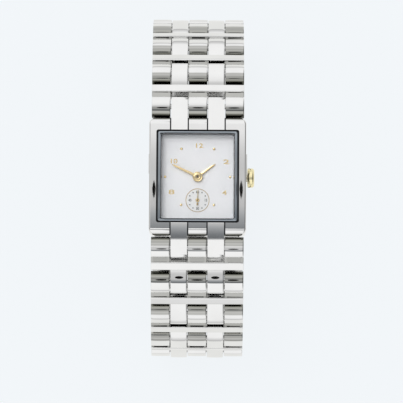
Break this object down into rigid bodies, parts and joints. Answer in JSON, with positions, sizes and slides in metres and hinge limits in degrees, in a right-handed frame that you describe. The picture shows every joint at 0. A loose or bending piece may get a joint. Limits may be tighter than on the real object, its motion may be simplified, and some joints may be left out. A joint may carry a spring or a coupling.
{
  "type": "bracelet watch",
  "caption": "Slim rectangular bracelet watch with a small seconds dial, gold hands and crown, and a five-column steel link bracelet closed on a folding clasp.",
  "frame": {"origin": "middle of the clasp cover's flat underside, on the surface that the closed watch stands on", "axes": "+Z out of the dial, +Y towards 12 o'clock along the closed loop, +X towards 3 o'clock and the crown"},
  "size_m": [0.0257, 0.0832, 0.0363],
  "materials": {
    "polished_steel": "mirror polished stainless steel",
    "brushed_steel": "fine brushed",
    "gold_plate": "polished gold plate",
    "mineral_crystal": "clear, flat",
    "silver_dial": "satin silver white",
    "seal_rubber": "matt",
    "movement_brass": "satin",
    "movement_steel": "nickel",
    "holder_plastic": "moulded",
    "coil_copper": "lacquered wire",
    "board_green": "circuit board"
  },
  "bodies": {
    "case": {"case": "polished_steel", "case_pins": "brushed_steel", "bezel_ring": "polished_steel", "crystal": "mineral_crystal", "crystal_gasket": "seal_rubber", "dial": "silver_dial", "hour_dots": "gold_plate", "movement_plate": "movement_steel", "movement_holder": "holder_plastic", "battery": "movement_steel", "drive_coil": "coil_copper", "circuit_board": "board_green", "crown_tube": "brushed_steel", "case_back": "brushed_steel", "case_back_gasket": "seal_rubber", "case_back_screws": "brushed_steel"},
    "minute_train": {"minute_hand": "gold_plate", "centre_wheel": "movement_brass"},
    "hour_train": {"hour_hand": "gold_plate", "hour_wheel": "movement_brass"},
    "seconds_train": {"seconds_hand": "gold_plate", "seconds_wheel": "movement_brass"},
    "stem": {"winding_stem": "brushed_steel"},
    "crown": {"crown": "gold_plate"},
    "upper_link_1": {"upper_link_1": "polished_steel"},
    "upper_link_2": {"upper_link_2": "polished_steel", "upper_pin_2": "brushed_steel"},
    "upper_link_3": {"upper_link_3": "polished_steel", "upper_pin_3": "brushed_steel"},
    "upper_link_4": {"upper_link_4": "polished_steel", "upper_pin_4": "brushed_steel"},
    "upper_link_5": {"upper_link_5": "polished_steel", "upper_pin_5": "brushed_steel"},
    "upper_link_6": {"upper_link_6": "polished_steel", "upper_pin_6": "brushed_steel"},
    "upper_link_7": {"upper_link_7": "polished_steel", "upper_pin_7": "brushed_steel"},
    "lower_link_1": {"lower_link_1": "polished_steel"},
    "lower_link_2": {"lower_link_2": "polished_steel", "lower_pin_2": "brushed_steel"},
    "lower_link_3": {"lower_link_3": "polished_steel", "lower_pin_3": "brushed_steel"},
    "lower_link_4": {"lower_link_4": "polished_steel", "lower_pin_4": "brushed_steel"},
    "lower_link_5": {"lower_link_5": "polished_steel", "lower_pin_5": "brushed_steel"},
    "lower_link_6": {"lower_link_6": "polished_steel", "lower_pin_6": "brushed_steel"},
    "lower_link_7": {"lower_link_7": "polished_steel", "lower_pin_7": "brushed_steel", "cover_pin": "brushed_steel"},
    "clasp_cover": {"clasp_cover": "polished_steel", "clasp_button_springs": "brushed_steel"},
    "clasp_middle_blade": {"clasp_middle_blade": "brushed_steel", "clasp_blade_pins": "brushed_steel"},
    "clasp_inner_blade": {"clasp_inner_blade": "brushed_steel", "spring_bar": "brushed_steel"},
    "right_clasp_button": {"right_clasp_button": "polished_steel"},
    "left_clasp_button": {"left_clasp_button": "polished_steel"}
  },
  "joints": [
    {"name": "upper_link_1_hinge", "type": "hinge", "parent": "case", "child": "upper_link_1", "pos_m": [0, 0.0169, 0.03372], "axis": [1, 0, 0], "range_deg": [0, 14.5]},
    {"name": "upper_link_2_hinge", "type": "hinge", "parent": "upper_link_1", "child": "upper_link_2", "pos_m": [0, 0.02503, 0.03162], "axis": [1, 0, 0], "range_deg": [0, 19.5]},
    {"name": "upper_link_3_hinge", "type": "hinge", "parent": "upper_link_2", "child": "upper_link_3", "pos_m": [0, 0.032, 0.02692], "axis": [1, 0, 0], "range_deg": [0, 16]},
    {"name": "upper_link_4_hinge", "type": "hinge", "parent": "upper_link_3", "child": "upper_link_4", "pos_m": [0, 0.0374, 0.02048], "axis": [1, 0, 0], "range_deg": [0, 24]},
    {"name": "upper_link_5_hinge", "type": "hinge", "parent": "upper_link_4", "child": "upper_link_5", "pos_m": [0, 0.03971, 0.01241], "axis": [1, 0, 0], "range_deg": [0, 41]},
    {"name": "upper_link_6_hinge", "type": "hinge", "parent": "upper_link_5", "child": "upper_link_6", "pos_m": [0, 0.03616, 0.0048], "axis": [1, 0, 0], "range_deg": [0, 43]},
    {"name": "upper_link_7_hinge", "type": "hinge", "parent": "upper_link_6", "child": "upper_link_7", "pos_m": [0, 0.02837, 0.00165], "axis": [1, 0, 0], "range_deg": [0, 22]},
    {"name": "lower_link_1_hinge", "type": "hinge", "parent": "case", "child": "lower_link_1", "pos_m": [0, -0.0169, 0.03372], "axis": [-1, 0, 0], "range_deg": [0, 14.5]},
    {"name": "lower_link_2_hinge", "type": "hinge", "parent": "lower_link_1", "child": "lower_link_2", "pos_m": [0, -0.02503, 0.03162], "axis": [-1, 0, 0], "range_deg": [0, 19.5]},
    {"name": "lower_link_3_hinge", "type": "hinge", "parent": "lower_link_2", "child": "lower_link_3", "pos_m": [0, -0.032, 0.02692], "axis": [-1, 0, 0], "range_deg": [0, 16]},
    {"name": "lower_link_4_hinge", "type": "hinge", "parent": "lower_link_3", "child": "lower_link_4", "pos_m": [0, -0.0374, 0.02048], "axis": [-1, 0, 0], "range_deg": [0, 24]},
    {"name": "lower_link_5_hinge", "type": "hinge", "parent": "lower_link_4", "child": "lower_link_5", "pos_m": [0, -0.03971, 0.01241], "axis": [-1, 0, 0], "range_deg": [0, 41]},
    {"name": "lower_link_6_hinge", "type": "hinge", "parent": "lower_link_5", "child": "lower_link_6", "pos_m": [0, -0.03616, 0.0048], "axis": [-1, 0, 0], "range_deg": [0, 43]},
    {"name": "lower_link_7_hinge", "type": "hinge", "parent": "lower_link_6", "child": "lower_link_7", "pos_m": [0, -0.02837, 0.00165], "axis": [-1, 0, 0], "range_deg": [0, 22]},
    {"name": "clasp_cover_hinge", "type": "hinge", "parent": "lower_link_7", "child": "clasp_cover", "pos_m": [0, -0.01997, 0.00165], "axis": [-1, 0, 0], "range_deg": [0, 35]},
    {"name": "middle_blade_fold", "type": "hinge", "parent": "clasp_cover", "child": "clasp_middle_blade", "pos_m": [0, 0.014, 0.00195], "axis": [-1, 0, 0], "range_deg": [0, 110]},
    {"name": "inner_blade_fold", "type": "hinge", "parent": "clasp_middle_blade", "child": "clasp_inner_blade", "pos_m": [0, -0.002, 0.0025], "axis": [1, 0, 0], "range_deg": [0, 165]},
    {"name": "right_button_press", "type": "slide", "parent": "clasp_cover", "child": "right_clasp_button", "axis": [-1, 0, 0], "range_m": [0, 0.00045], "stiffness_N_per_m": 300, "springref_m": -0.001},
    {"name": "left_button_press", "type": "slide", "parent": "clasp_cover", "child": "left_clasp_button", "axis": [1, 0, 0], "range_m": [0, 0.00045], "stiffness_N_per_m": 300, "springref_m": -0.001},
    {"name": "minute_hand_turn", "type": "hinge", "parent": "case", "child": "minute_train", "pos_m": [0, 0, 0.03362], "axis": [0, 0, -1], "continuous": true},
    {"name": "hour_hand_turn", "type": "hinge", "parent": "case", "child": "hour_train", "pos_m": [0, 0, 0.03362], "axis": [0, 0, -1], "continuous": true},
    {"name": "seconds_hand_turn", "type": "hinge", "parent": "case", "child": "seconds_train", "pos_m": [0, -0.0056, 0.03362], "axis": [0, 0, -1], "continuous": true},
    {"name": "stem_pull", "type": "slide", "parent": "case", "child": "stem", "axis": [1, 0, 0], "range_m": [0, 0.0008]},
    {"name": "crown_turn", "type": "hinge", "parent": "stem", "child": "crown", "pos_m": [0, 0, 0.03217], "axis": [1, 0, 0], "continuous": true}
  ],
  "couplings": [
    {"joint": "hour_hand_turn", "follows": "minute_hand_turn", "ratio": 0.083333}
  ]
}
